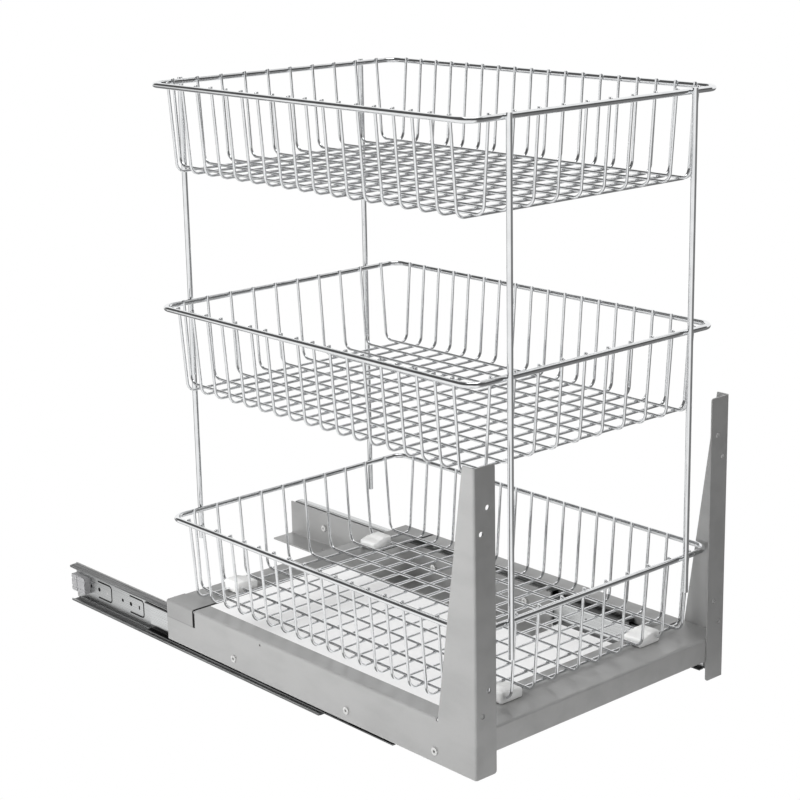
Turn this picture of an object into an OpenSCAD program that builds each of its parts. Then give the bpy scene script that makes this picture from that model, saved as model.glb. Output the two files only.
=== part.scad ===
// Pull-out basket unit for a kitchen base cabinet: three welded wire baskets on four posts,
// clipped to a folded steel frame that runs on two full-extension ball-bearing slides.
//
// Millimetres. +X is the unit's right, -Y is the way it pulls out, +Z is up. The origin lies on
// the cabinet floor, at the centre of the four floor holes in the two base angles.

/* [Baskets] */
// Width of a basket between the centre lines of its rim
basket_w = 340; // [300:1:344]
// Depth of a basket between the centre lines of its rim
basket_d = 481; // [460:1:500]
// Height of a basket from the centre of its rim to the underside of its floor
basket_h = 91.5; // [80:0.5:100]
// Height from one basket's rim to the next
tier_pitch = 238; // [220:1:260]
// Rim wire
rim_d = 6; // [5:0.5:7]
// Wire of the walls and floor
mesh_d = 3; // [2.4:0.1:3.4]
// Post wire
post_d = 6; // [5:0.5:7]
// Radius of the rim's corners
rim_corner_r = 15; // [10:1:25]
// How far the walls lean in between the rim and the floor
wall_lean = 7; // [4:0.5:12]
// Radius on the centre line where a wire turns from floor to wall
mesh_bend_r = 10; // [5:0.5:11]
// Wires that run across a basket
cross_wires = 18; // [12:1:20]
// Wires that run from the front of a basket to its back
long_wires = 10; // [8:2:10]
// From the rim's centre line to the nearest wire of the same direction
wire_edge = 28; // [24:1:34]

/* [Sliding frame] */
// Thickness of the folded sheet
sheet_t = 1.5; // [1.2:0.1:2]
// From the rim's centre line to the outer face of the side plate
side_gap = 11; // [9.5:0.5:16]
// From the door face of the bracket to the rim's centre line
front_gap = 13.3; // [12.5:0.1:20]
// From the rim's centre line to the rear end of the frame
rear_gap = 2.7; // [0:0.1:10]
// Lower edge of the sliding frame above the cabinet floor
floor_gap = 12; // [9:0.5:14]
// Height of the side rail
rail_h = 47; // [45:0.5:52]
// Width of the rail's top flange
rail_flange_w = 22; // [18:0.5:25]
// Height of the door bracket
bracket_h = 307; // [260:1:340]
// Width of the bracket's door flange
door_flange_w = 27; // [24:0.5:32]
// Depth of the bracket's side at its top
bracket_top_d = 15; // [12:0.5:24]
// Depth of the bracket's side at the rail
bracket_foot_d = 52; // [46:0.5:60]
// Depth of the front cross member
front_cross_d = 60; // [58:0.5:80]
// Height of the front cross member's apron
front_apron_h = 25; // [18:0.5:30]
// Depth of the rear cross member
rear_cross_d = 49; // [48:0.5:60]
// Height of the rear cross member's tabs and rear lip
rear_tab_h = 20; // [12:0.5:24]
// Bore of the holes that hold the cabinet door
door_hole_d = 5.5; // [4:0.5:6.5]
// Height between the lower and the upper door holes
door_hole_pitch = 180; // [150:1:200]

/* [Basket clips] */
// Gap between the cross members and the floor of the bottom basket
basket_lift = 2.5; // [2:0.5:6]
// Width of a clip
clip_w = 25; // [24:0.5:27]
// Height of a clip
clip_h = 13; // [12:0.5:16]

/* [Slides] */
// Length of the fixed outer member
slide_l = 464; // [450:1:480]
// Height of the outer member
slide_h = 45; // [44:0.5:46]
// Thickness of the closed slide
slide_t = 12.7; // [12.4:0.1:13.2]
// Underside of the slide above the cabinet floor
slide_lift = 1.5; // [1:0.1:2]
// How much shorter the middle member is than the outer one
middle_short = 40; // [36:1:50]
// How much shorter the inner member is than the outer one
inner_short = 50; // [46:1:60]
// Bearing ball
ball_d = 4; // [3.6:0.1:4]
// Balls in one row
row_balls = 13; // [8:1:16]
// Length of a ball cage
cage_l = 180; // [150:5:190]

/* [Base angles] */
// Thickness of the base angle
base_t = 2; // [1.5:0.1:3]
// Height of the base angle
base_h = 45; // [40:0.5:46]
// Width of the base angle on the floor, over its bend
base_w = 33; // [28:0.5:40]
// How far the base angle runs past the rear end of the slide
base_tail = 6; // [4:1:20]
// Bore of the floor holes
floor_hole_d = 5.5; // [4:0.5:6.5]
// Distance between the front and rear floor holes
floor_hole_pitch = 305; // [280:5:380]
// From the upright of the base angle to the floor holes
floor_hole_in = 14.8; // [12:0.1:18]

/* [Position] */
// How far the unit stands pulled out
open_by = 228; // [0:1:228]

/* [Hidden] */
$fn = 48;
eps = 0.01;
cut = 1;                 // how far a cutter reaches past the face it cuts
weld_sink = 0.25;        // how deep two welded wires lie in each other
bend_swell = 0.02;       // a bent wire swells a little, and covers the ends of the straight parts
bend_lap = 0.05;         // how far those ends reach into the bend
wire_tip = 1.2;          // how far the mesh wires stand above the rim
post_tip = 1;            // how far the posts stand above the top rim
post_foot = 35.5;        // how far the posts reach below the bottom rim
fold_r = 2.5;            // outer radius of the folds in the frame
flange_r = 3;            // rounded corners of the door flange
relief = 3;              // notch where the rail's flange meets the bracket
seam = 2.5;              // gap in front of the rear cross member
door_ahead = 7.8;        // door face ahead of the slides when closed
clip_wire_in = 9.4;      // clip's centre inside the long wire that it also holds

// Heights
rail_top = floor_gap + rail_h;
slide_z = slide_lift + slide_h / 2;
bottom_rim_z = rail_top + basket_lift + basket_h;
rim_z = [bottom_rim_z, bottom_rim_z + tier_pitch, bottom_rim_z + 2 * tier_pitch];

// Widths: the side plates' outer faces, the base angles' outer faces
half_w = basket_w / 2 + side_gap;
base_x = half_w - sheet_t - slide_t;
frame_d = front_gap + basket_d + rear_gap;

// Wire positions on a basket
cross_pitch = (basket_d - 2 * wire_edge) / (cross_wires - 1);
long_pitch = (basket_w - 2 * wire_edge) / (long_wires - 1);
cross_rim = basket_w / 2 - rim_d / 2 - mesh_d / 2 + weld_sink;
long_rim = basket_d / 2 - rim_d / 2 - mesh_d / 2 + weld_sink;
cross_drop = basket_h - mesh_d / 2;
long_drop = cross_drop - mesh_d + weld_sink;
lean = atan(wall_lean / cross_drop);
post_x = (long_wires / 2 - 1) * long_pitch;
post_y = basket_d / 2 + rim_d / 2 + post_d / 2 - weld_sink;
clip_wire_x = (long_wires / 2 - 1.5) * long_pitch;
clip_x = clip_wire_x - clip_wire_in;
clip_y = basket_d / 2 - wire_edge;

// Places along Y: everything that slides is drawn from the door face backwards
base_l = slide_l + base_tail;
slide_y = -base_l / 2;
door_y = slide_y - door_ahead - open_by;
basket_y = door_y + front_gap + basket_d / 2;
inner_set = 24;          // front end of the inner member behind the door face
inner_l = slide_l - inner_short;
middle_l = slide_l - middle_short;
cage_set = 123;          // front ends of the cages behind the slide's end when closed

// Slide section, from the base angle outwards (u) and from the slide's centre up (v)
race_t = 1.2;            // sheet of the outer and inner members
middle_t = 1.4;
ridge = 0.3;             // the race stands out of the outer member by this
groove = 0.35;           // depth of a race
play = 0.1;              // clearance round a ball
cage_t = 0.7;
ball_r = ball_d / 2;
race_r = ball_r + play;
outer_ball_v = slide_h / 2 - ridge - race_t + groove - race_r;
middle_half = outer_ball_v - race_r + groove;
inner_ball_v = middle_half - middle_t + groove - race_r;
inner_half = inner_ball_v - race_r + groove;
outer_ball_u = slide_t * 0.52;
inner_ball_u = slide_t * 0.66;
outer_flange = slide_t - 0.7;
outer_lip = 1.3;
middle_u = 2.8;
middle_flange = slide_t - 1.5 - middle_u;
inner_u = middle_u + middle_t + 1.3;
outer_cage_u = (race_t + middle_u - cage_t) / 2;
inner_cage_u = (middle_u + middle_t + inner_u - cage_t) / 2;
cage_edge = 0.8;         // cage left beside a ball

// Fasteners: distances from the door face or from the slide's front end
rivet_y = [57, 188, 375];
pilot_y = [63, 126, 189, 252, 315, 378]; // holes along the middle member
rivet_shank_d = 4.8;
rivet_head_d = 8;
rivet_head_h = 1.3;
rivet_tail_d = 7;        // closed end behind the inner member
rivet_tail_h = 0.9;
rivet_bore_d = 3;
slide_screw_y = [40, 195, 402.5];
screw_shank_d = 4;
screw_head_d = 8;
screw_head_h = 2.4;
screw_recess_l = 4.4;    // arms of the cross recess
screw_recess_w = 1;
screw_recess_h = 1;
clip_screw_d = 3.5;
clip_screw_head_d = 6.5;
clip_screw_head_h = 2;
clip_screw_l = 8;
clip_screw_y = -5.2;     // from the wire, towards the middle of the basket
clip_recess_l = 3;
clip_recess_w = 0.8;
clip_recess_h = 0.8;
clip_back = 9.5;         // clip behind the wire it snaps on
clip_front = 4.5;        // clip beyond that wire, towards the rim
clip_slot = 0.8;         // neck of the groove, as a share of the wire
clip_round = 3;          // rounding along the top
clip_corner_r = 2;       // rounding of the upright corners
clip_play = 0.2;         // clearance round the long wire
screw_room = 0.5;        // clip hole deeper than the screw
door_hole_in = 17.3;     // inner column of door holes, from the side plate's outer face
door_hole_out = 9;       // outer column
door_hole_z = 87;        // lowest hole of the inner column above the bracket's lower end
door_hole_step = 24;     // the outer column sits lower by this
drain_y = 328;
drain_z = 41;
drain_d = 2.5;
lance_y = [392.5, 326.5, 260.5, 128.5, 62.5]; // closed ends of the lanced tabs
lance_l = 29;
lance_h = 22;
lance_gap = 2;
lance_r = 5;             // rounded corners of the closed end
lance_oval_at = 10;      // upright oval hole in the tab
lance_oval_w = 2.4;
lance_oval_h = 5;
lance_hole_at = 27;      // round hole at the tab's root
lance_hole_d = 5;
spare_hole_at = 43.8;    // spare screw hole beyond the tab's root
buffer_l = 27;
buffer_out = 3;          // buffer stands out of the slide's rear end
buffer_h = 20;
buffer_u = 9;
buffer_groove_d = 1.6;
buffer_slot_at = 15;
buffer_slot_w = 1.5;
buffer_slot_deep = 1;

// ---------------------------------------------------------------- helpers

// Everything is drawn for the right-hand side; side = -1 mirrors it to the left
module on_side(side) {
    if (side < 0) mirror([1, 0, 0]) children();
    else children();
}

// Section of a folded sheet: outer corner at the origin, legs a along -x and b along -y
module fold_section(a, b, t, r) {
    translate([-a, -t]) square([a - r, t]);
    translate([-t, -b]) square([t, b - r]);
    translate([-r, -r]) intersection() {
        difference() {
            circle(r);
            circle(r - t);
        }
        square([r, r]);
    }
}

// Sweeps an XZ section along Y, from y to y + l
module along_y(y, l) {
    translate([0, y + l, 0]) rotate([90, 0, 0]) linear_extrude(l) children();
}

// Sweeps a YZ section along X, centred
module along_x(l) {
    rotate([90, 0, 90]) linear_extrude(l, center = true) children();
}

// Round bar along X from x0 to x1
module bar_x(x0, x1, d) {
    translate([x0, 0, 0]) rotate([0, 90, 0]) cylinder(h = x1 - x0, d = d);
}

// ---------------------------------------------------------------- baskets

// Closed rim: four straight wires and four quarter bends
module basket_rim(tier) {
    x = basket_w / 2 - rim_corner_r;
    y = basket_d / 2 - rim_corner_r;
    color("Silver") translate([0, basket_y, rim_z[tier]]) {
        for (s = [-1, 1]) {
            translate([0, s * basket_d / 2, 0]) bar_x(-x, x, rim_d);
            translate([s * basket_w / 2, y, 0]) rotate([90, 0, 0]) cylinder(h = 2 * y, d = rim_d);
        }
        for (q = [0 : 3]) {
            sx = (q == 0 || q == 3) ? 1 : -1;
            sy = q < 2 ? 1 : -1;
            translate([sx * x, sy * y, 0]) rotate([0, 0, 90 * q])
                rotate_extrude(angle = 90) translate([rim_corner_r, 0]) circle(d = rim_d);
        }
    }
}

// One wire bent to a U in the XZ plane, its floor centred on the origin
// half: from the centre to where the wall's line meets the floor; rise: floor to wire end
module u_wire(half, rise) {
    turn = 90 - lean;
    t = mesh_bend_r * tan(turn / 2);
    bar_x(-(half - t + bend_lap), half - t + bend_lap, mesh_d);
    for (side = [-1, 1]) on_side(side) {
        translate([half - t, 0, mesh_bend_r]) rotate([90, 0, 0]) rotate([0, 0, -90])
            rotate_extrude(angle = turn) translate([mesh_bend_r, 0])
                circle(d = mesh_d + bend_swell);
        translate([half, 0, 0]) rotate([0, lean, 0]) translate([0, 0, t - bend_lap])
            cylinder(h = rise / cos(lean) - t + bend_lap, d = mesh_d);
    }
}

module basket_cross_wires(tier) {
    half = cross_rim - cross_drop * tan(lean);
    color("Gainsboro") translate([0, basket_y, rim_z[tier] - cross_drop])
        for (i = [0 : cross_wires - 1])
            translate([0, (i - (cross_wires - 1) / 2) * cross_pitch, 0])
                u_wire(half, cross_drop + rim_d / 2 + wire_tip);
}

module basket_long_wires(tier) {
    half = long_rim - long_drop * tan(lean);
    color("LightGray") translate([0, basket_y, rim_z[tier] - long_drop])
        for (i = [0 : long_wires - 1])
            translate([(i - (long_wires - 1) / 2) * long_pitch, 0, 0]) rotate([0, 0, 90])
                u_wire(half, long_drop + rim_d / 2 + wire_tip);
}

// Post outside the short rims; end = -1 front, 1 rear
module post(side, end) {
    z0 = rim_z[0] - post_foot;
    z1 = rim_z[2] + rim_d / 2 + post_tip;
    color("Silver") translate([side * post_x, basket_y + end * post_y, z0])
        cylinder(h = z1 - z0, d = post_d);
}

// ---------------------------------------------------------------- basket clips

// Block section in YZ, wire at y = 0, foot at z = 0, +y towards the rim
module clip_section() {
    translate([-clip_back, 0]) square([clip_back + clip_front, clip_h - clip_round]);
    translate([-clip_back + clip_round, 0]) square([clip_back + clip_front - 2 * clip_round, clip_h]);
    for (y = [-clip_back + clip_round, clip_front - clip_round])
        translate([y, clip_h - clip_round]) circle(clip_round);
}

// Plan of the block in XY
module clip_plan() {
    y0 = -clip_back;
    y1 = clip_front;
    r = clip_corner_r;
    translate([-clip_w / 2, y0 + r]) square([clip_w, y1 - y0 - 2 * r]);
    translate([-clip_w / 2 + r, y0]) square([clip_w - 2 * r, y1 - y0]);
    for (x = [-clip_w / 2 + r, clip_w / 2 - r], y = [y0 + r, y1 - r]) translate([x, y]) circle(r);
}

// Groove with a round roof for a wire of diameter d, open at the foot
module wire_groove(d, wire_z) {
    translate([0, wire_z]) circle(d = d);
    translate([-clip_slot * d / 2, -cut]) square([clip_slot * d, wire_z + cut]);
}

module clip_place(side, end) {
    translate([0, basket_y + end * clip_y, rail_top]) on_side(side) translate([clip_x, 0, 0])
        if (end < 0) mirror([0, 1, 0]) children();
        else children();
}

// Pushed over a crossing of two wires from above and held by a screw from below
module basket_clip(side, end) {
    cross_z = basket_lift + mesh_d / 2;
    color("WhiteSmoke") clip_place(side, end) difference() {
        intersection() {
            along_x(clip_w) clip_section();
            linear_extrude(clip_h) clip_plan();
        }
        along_x(clip_w + 2 * cut) wire_groove(mesh_d, cross_z);
        translate([clip_wire_in, 0, 0]) along_y(-clip_back - cut, clip_back + clip_front + 2 * cut)
            wire_groove(mesh_d + 2 * clip_play, cross_z + cross_drop - long_drop);
        translate([0, clip_screw_y, -cut])
            cylinder(h = clip_screw_l - sheet_t + screw_room + cut, d = clip_screw_d);
    }
}

module clip_screws() {
    color("DarkGray") for (side = [-1, 1], end = [-1, 1]) clip_place(side, end)
        translate([0, clip_screw_y, -sheet_t]) {
            translate([0, 0, -eps]) cylinder(h = clip_screw_l + eps, d = clip_screw_d);
            translate([0, 0, -clip_screw_head_h]) difference() {
                cylinder(h = clip_screw_head_h, d = clip_screw_head_d);
                for (a = [0, 90]) rotate(a)
                    cube([clip_recess_l, clip_recess_w, 2 * clip_recess_h], center = true);
            }
        }
}

// Holes that the clip screws need in a cross member
module clip_screw_holes(end) {
    for (side = [-1, 1]) clip_place(side, end)
        translate([0, clip_screw_y, -sheet_t - cut])
            cylinder(h = sheet_t + 2 * cut, d = clip_screw_d);
}

// ---------------------------------------------------------------- sliding frame

// Rail and door bracket, folded from one sheet
module side_plate(side) {
    top = floor_gap + bracket_h;
    rail_end = frame_d - rear_cross_d - seam;
    color("Silver") translate([0, door_y, 0]) on_side(side) difference() {
        union() {
            translate([half_w, 0, rail_top])
                along_y(bracket_foot_d - eps, frame_d - bracket_foot_d + eps)
                    fold_section(rail_flange_w, rail_h, sheet_t, fold_r);
            translate([half_w, 0, floor_gap]) linear_extrude(bracket_h)
                mirror([0, 1]) fold_section(door_flange_w, bracket_foot_d, sheet_t, fold_r);
        }
        // taper of the bracket's side
        translate([half_w, 0, 0]) along_x(4 * fold_r) polygon([
            [bracket_foot_d, rail_top], [bracket_foot_d + cut, rail_top],
            [bracket_foot_d + cut, top + cut], [bracket_top_d, top + cut], [bracket_top_d, top]
        ]);
        // relief notch between the rail's flange and the bracket
        translate([half_w - rail_flange_w - cut, bracket_foot_d - eps, rail_top - relief])
            cube([rail_flange_w + 2 * cut, relief, relief + cut]);
        // seat of the rear cross member
        translate([half_w - rail_flange_w - cut, rail_end, rail_top - rear_tab_h])
            cube([rail_flange_w + 2 * cut, rear_cross_d + seam + cut, rear_tab_h + cut]);
        // rounded corners of the door flange
        for (z = [floor_gap + flange_r, top - flange_r])
            translate([half_w - door_flange_w + flange_r, 0, z]) flange_corner(z > rail_top ? 1 : -1);
        for (y = rivet_y)
            translate([0, y, slide_z]) bar_x(half_w - sheet_t - cut, half_w + cut, rivet_shank_d);
        translate([0, drain_y, floor_gap + drain_z])
            bar_x(half_w - sheet_t - cut, half_w + cut, drain_d);
        for (z = [0, door_hole_pitch]) {
            door_hole(door_hole_in, door_hole_z + z);
            door_hole(door_hole_out, door_hole_z - door_hole_step + z);
        }
    }
}

// Cuts the inner corner of the door flange round; up = 1 at the top, -1 at the bottom
module flange_corner(up) {
    rotate([90, 0, 0]) linear_extrude(6 * sheet_t, center = true) difference() {
        translate([-flange_r - cut, up > 0 ? 0 : -flange_r - cut])
            square([flange_r + cut, flange_r + cut]);
        circle(flange_r);
    }
}

module door_hole(from_side, up) {
    translate([half_w - from_side, -cut, floor_gap + up]) rotate([-90, 0, 0])
        cylinder(h = sheet_t + 2 * cut, d = door_hole_d);
}

// Front cross member: a flange level with the rails and an apron behind the door flanges
module front_cross_member() {
    end_gap = fold_r - sheet_t;
    color("DarkGray") difference() {
        translate([0, door_y + sheet_t, rail_top]) difference() {
            along_x(2 * (half_w - sheet_t - end_gap))
                mirror([1, 0]) fold_section(front_cross_d, front_apron_h, sheet_t, fold_r);
            for (side = [-1, 1]) on_side(side)
                translate([half_w - rail_flange_w, bracket_foot_d - sheet_t, -sheet_t - cut])
                    cube([rail_flange_w, front_cross_d, sheet_t + 2 * cut]);
        }
        clip_screw_holes(-1);
    }
}

// Rear cross member: its ends fold down into the side plates, its rear edge into a lip
module rear_cross_member() {
    lip_w = 2 * (half_w - rail_flange_w - relief);
    color("DarkGray") difference() {
        translate([0, door_y, rail_top]) {
            for (side = [-1, 1]) on_side(side)
                translate([half_w, 0, 0]) along_y(frame_d - rear_cross_d, rear_cross_d)
                    fold_section(half_w, rear_tab_h, sheet_t, fold_r);
            translate([0, frame_d, 0]) along_x(lip_w)
                fold_section(rear_cross_d / 2, rear_tab_h, sheet_t, fold_r);
        }
        // the flange's rear edge stays inside the lip's rounded fold
        translate([-lip_w / 2, door_y + frame_d - fold_r, rail_top - fold_r]) along_lip_cut(lip_w);
        clip_screw_holes(1);
    }
}

// Rounds the flange's square rear edge to the outside of the lip's fold
module along_lip_cut(w) {
    translate([w / 2, 0, 0]) along_x(w) difference() {
        square([fold_r + cut, fold_r + cut]);
        circle(fold_r);
    }
}

// ---------------------------------------------------------------- slides

// Places slide geometry: u outwards from the base angle, v up from the slide's centre
module slide_place(side, y) {
    translate([0, y, 0]) on_side(side) translate([base_x, 0, slide_z]) children();
}

// Half a C section and its mirror image
module both_halves() {
    children();
    mirror([0, 1]) children();
}

module outer_section() {
    both_halves() difference() {
        union() {
            translate([0, slide_h / 2 - ridge]) mirror([1, 0])
                fold_section(outer_flange, slide_h / 2 - ridge, race_t, fold_r);
            translate([outer_ball_u - 1.5 * ball_r, slide_h / 2 - ridge - race_t])
                square([3 * ball_r, race_t + ridge]);
            translate([outer_flange - race_t, slide_h / 2 - ridge - race_t - outer_lip])
                square([race_t, race_t + outer_lip]);
        }
        translate([outer_ball_u, outer_ball_v]) circle(race_r);
    }
}

module slide_outer(side) {
    color("LightGray") slide_place(side, slide_y) difference() {
        along_y(0, slide_l) outer_section();
        for (y = slide_screw_y) web_hole(y, screw_shank_d);
        for (y = lance_y) {
            through_web(y) lance_slot();
            web_hole(y + lance_hole_at, lance_hole_d);
            web_hole(y + spare_hole_at, screw_shank_d);
        }
        // the rearmost tab has a screw hole instead of the oval one
        for (i = [1 : len(lance_y) - 1])
            through_web(lance_y[i] + lance_oval_at) upright_oval(lance_oval_w, lance_oval_h);
    }
}

// Cuts a YZ shape through the outer member's web
module through_web(y) {
    translate([-cut, y, 0]) rotate([90, 0, 90]) linear_extrude(race_t + 2 * cut) children();
}

module web_hole(y, d) {
    translate([-cut, y, 0]) bar_x(0, race_t + 2 * cut, d);
}

// U-shaped slot that frees a tab of the web, closed end at y = 0
module lance_slot() {
    difference() {
        lance_outline(0, lance_l);
        lance_outline(lance_gap, lance_l + cut);
    }
}

module lance_outline(inset, reach) {
    h = lance_h - 2 * inset;
    r = lance_r - inset;
    translate([inset + r, -h / 2]) square([reach - inset - r, h]);
    translate([inset, r - h / 2]) square([2 * r, h - 2 * r]);
    for (s = [-1, 1]) translate([inset + r, s * (h / 2 - r)]) circle(r);
}

module upright_oval(w, h) {
    square([w, h - w], center = true);
    for (s = [-1, 1]) translate([0, s * (h - w) / 2]) circle(d = w);
}

module slide_middle(side) {
    y = slide_y - open_by / 2;
    color("Silver") slide_place(side, y) difference() {
        along_y(0, middle_l) both_halves() difference() {
            translate([middle_u, middle_half]) mirror([1, 0])
                fold_section(middle_flange, middle_half, middle_t, fold_r);
            translate([outer_ball_u, outer_ball_v]) circle(race_r);
            translate([inner_ball_u, inner_ball_v]) circle(race_r);
        }
        for (y = pilot_y)
            translate([0, y, 0]) bar_x(middle_u - cut, middle_u + middle_t + cut, screw_shank_d);
    }
}

module slide_inner(side) {
    color("LightGray") slide_place(side, door_y) difference() {
        along_y(inner_set, inner_l) both_halves() difference() {
            translate([slide_t, inner_half])
                fold_section(slide_t - inner_u, inner_half, race_t, fold_r);
            translate([inner_ball_u, inner_ball_v]) circle(race_r);
        }
        for (y = rivet_y)
            translate([0, y, 0]) bar_x(slide_t - race_t - cut, slide_t + cut, rivet_shank_d);
    }
}

// Ball cage: two strips joined by a web, with a hole for each ball
module ball_cage(side, y, web_u, ball_u, ball_v) {
    edge = ball_u + ball_r + cage_edge;
    color("DimGray") slide_place(side, y) difference() {
        along_y(0, cage_l) both_halves() {
            translate([web_u, 0]) square([cage_t, ball_v]);
            translate([web_u, ball_v - cage_t / 2]) square([edge - web_u, cage_t]);
        }
        ball_row(ball_u, ball_v) cylinder(h = 2 * cage_t, r = race_r, center = true);
    }
}

module balls(side, y, ball_u, ball_v) {
    color("Silver") slide_place(side, y) ball_row(ball_u, ball_v) sphere(d = ball_d);
}

module ball_row(ball_u, ball_v) {
    step = (cage_l - 3 * ball_d) / (row_balls - 1);
    for (s = [-1, 1], i = [0 : row_balls - 1])
        translate([ball_u, 1.5 * ball_d + i * step, s * ball_v]) children();
}

outer_cage_y = slide_y + cage_set - open_by / 4;
inner_cage_y = slide_y + cage_set - open_by * 3 / 4;

module outer_cage(side) { ball_cage(side, outer_cage_y, outer_cage_u, outer_ball_u, outer_ball_v); }
module inner_cage(side) { ball_cage(side, inner_cage_y, inner_cage_u, inner_ball_u, inner_ball_v); }
module outer_balls(side) { balls(side, outer_cage_y, outer_ball_u, outer_ball_v); }
module inner_balls(side) { balls(side, inner_cage_y, inner_ball_u, inner_ball_v); }

// Rear stop: a plastic block in the channel of the outer member
module slide_buffer(side) {
    y = slide_y + slide_l + buffer_out - buffer_l;
    color("Gainsboro") slide_place(side, y) difference() {
        translate([race_t, 0, -buffer_h / 2]) cube([buffer_u - race_t, buffer_l, buffer_h]);
        for (z = [-1, 1]) translate([buffer_u, -cut, z * buffer_h / 4]) rotate([-90, 0, 0])
            cylinder(h = buffer_l + 2 * cut, d = buffer_groove_d);
        translate([buffer_u - buffer_slot_deep, buffer_slot_at, -buffer_h / 2 - cut])
            cube([buffer_slot_deep + cut, buffer_slot_w, buffer_h + 2 * cut]);
    }
}

// Rivets that hold the inner member to the side plate
module slide_rivets(side) {
    plate_out = slide_t + sheet_t;
    color("Silver") slide_place(side, door_y) for (y = rivet_y) translate([0, y, 0])
        difference() {
            union() {
                bar_x(slide_t - race_t, plate_out, rivet_shank_d);
                bar_x(plate_out, plate_out + rivet_head_h, rivet_head_d);
                bar_x(slide_t - race_t - rivet_tail_h, slide_t - race_t, rivet_tail_d);
            }
            bar_x(plate_out, plate_out + rivet_head_h + cut, rivet_bore_d);
        }
}

// Pan-head screws that hold the outer member to the base angle
module slide_screws(side) {
    color("Silver") slide_place(side, slide_y) for (y = slide_screw_y) translate([0, y, 0]) {
        bar_x(-base_t - eps, race_t, screw_shank_d);
        difference() {
            bar_x(-base_t - screw_head_h, -base_t, screw_head_d);
            for (a = [0, 90]) translate([-base_t - screw_head_h, 0, 0]) rotate([a, 0, 0])
                cube([2 * screw_recess_h, screw_recess_l, screw_recess_w], center = true);
        }
    }
}

// ---------------------------------------------------------------- base angles

module base_angle(side) {
    color("Gray") on_side(side) difference() {
        translate([base_x, 0, 0]) along_y(-base_l / 2, base_l)
            mirror([0, 1]) fold_section(base_w, base_h, base_t, fold_r + base_t / 2);
        for (y = slide_screw_y)
            translate([0, slide_y + y, slide_z]) bar_x(base_x - base_t - cut, base_x + cut,
                screw_shank_d);
        for (s = [-1, 1])
            translate([base_x - base_t - floor_hole_in, s * floor_hole_pitch / 2, -cut])
                cylinder(h = base_t + 2 * cut, d = floor_hole_d);
    }
}

// ---------------------------------------------------------------- assembly

base_angle(-1);  // base_angle_left
base_angle(1);  // base_angle_right
slide_screws(-1);  // slide_screws_left
slide_screws(1);  // slide_screws_right
slide_outer(-1);  // slide_outer_left
slide_outer(1);  // slide_outer_right
slide_buffer(-1);  // slide_buffer_left
slide_buffer(1);  // slide_buffer_right
outer_cage(-1);  // outer_cage_left
outer_cage(1);  // outer_cage_right
outer_balls(-1);  // outer_balls_left
outer_balls(1);  // outer_balls_right
slide_middle(-1);  // slide_middle_left
slide_middle(1);  // slide_middle_right
inner_cage(-1);  // inner_cage_left
inner_cage(1);  // inner_cage_right
inner_balls(-1);  // inner_balls_left
inner_balls(1);  // inner_balls_right
slide_inner(-1);  // slide_inner_left
slide_inner(1);  // slide_inner_right
slide_rivets(-1);  // slide_rivets_left
slide_rivets(1);  // slide_rivets_right
side_plate(-1);  // side_plate_left
side_plate(1);  // side_plate_right
front_cross_member();
rear_cross_member();
basket_clip(-1, -1);  // basket_clip_front_left
basket_clip(1, -1);  // basket_clip_front_right
basket_clip(-1, 1);  // basket_clip_rear_left
basket_clip(1, 1);  // basket_clip_rear_right
clip_screws();
basket_rim(0);  // bottom_basket_rim
basket_cross_wires(0);  // bottom_basket_cross_wires
basket_long_wires(0);  // bottom_basket_long_wires
basket_rim(1);  // middle_basket_rim
basket_cross_wires(1);  // middle_basket_cross_wires
basket_long_wires(1);  // middle_basket_long_wires
basket_rim(2);  // top_basket_rim
basket_cross_wires(2);  // top_basket_cross_wires
basket_long_wires(2);  // top_basket_long_wires
post(-1, -1);  // post_front_left
post(1, -1);  // post_front_right
post(-1, 1);  // post_rear_left
post(1, 1);  // post_rear_right
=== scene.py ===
"""Dresses the pull-out basket unit: a finish for every CAD piece, welds on the wire baskets,
moulded basket clips, and a plain studio round it."""

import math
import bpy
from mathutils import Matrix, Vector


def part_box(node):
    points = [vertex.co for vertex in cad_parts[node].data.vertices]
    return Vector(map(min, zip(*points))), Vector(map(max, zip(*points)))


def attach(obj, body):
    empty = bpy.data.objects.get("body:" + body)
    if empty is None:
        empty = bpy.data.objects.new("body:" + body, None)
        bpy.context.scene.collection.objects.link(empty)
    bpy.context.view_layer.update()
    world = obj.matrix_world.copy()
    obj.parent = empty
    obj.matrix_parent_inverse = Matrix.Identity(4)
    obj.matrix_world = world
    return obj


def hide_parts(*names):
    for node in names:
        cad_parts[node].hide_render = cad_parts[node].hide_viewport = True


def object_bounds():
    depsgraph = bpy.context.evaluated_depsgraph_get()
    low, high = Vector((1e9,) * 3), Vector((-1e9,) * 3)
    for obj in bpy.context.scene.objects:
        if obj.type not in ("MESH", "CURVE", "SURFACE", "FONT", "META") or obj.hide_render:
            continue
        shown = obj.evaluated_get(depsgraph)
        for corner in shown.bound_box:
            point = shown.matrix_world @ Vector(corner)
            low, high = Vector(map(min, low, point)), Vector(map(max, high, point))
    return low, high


bl_info = {
    "name": "Pull-out basket unit",
    "version": (1, 0, 0),
    "blender": (4, 5, 0),
    "location": "View3D > Sidebar > Basket unit",
    "description": "Finishes and small parts for a pull-out wire basket unit",
    "category": "Object",
}

from functools import reduce

import bmesh
import bpy
from bpy.props import FloatProperty, FloatVectorProperty, IntProperty, PointerProperty
from mathutils import Matrix, Vector

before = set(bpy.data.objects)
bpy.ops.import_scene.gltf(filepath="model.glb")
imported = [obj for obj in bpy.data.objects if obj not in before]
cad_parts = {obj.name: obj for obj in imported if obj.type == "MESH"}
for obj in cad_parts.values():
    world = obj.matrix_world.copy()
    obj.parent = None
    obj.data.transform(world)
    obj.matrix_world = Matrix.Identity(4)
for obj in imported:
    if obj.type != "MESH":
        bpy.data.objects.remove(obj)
CAD_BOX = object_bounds()

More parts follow.
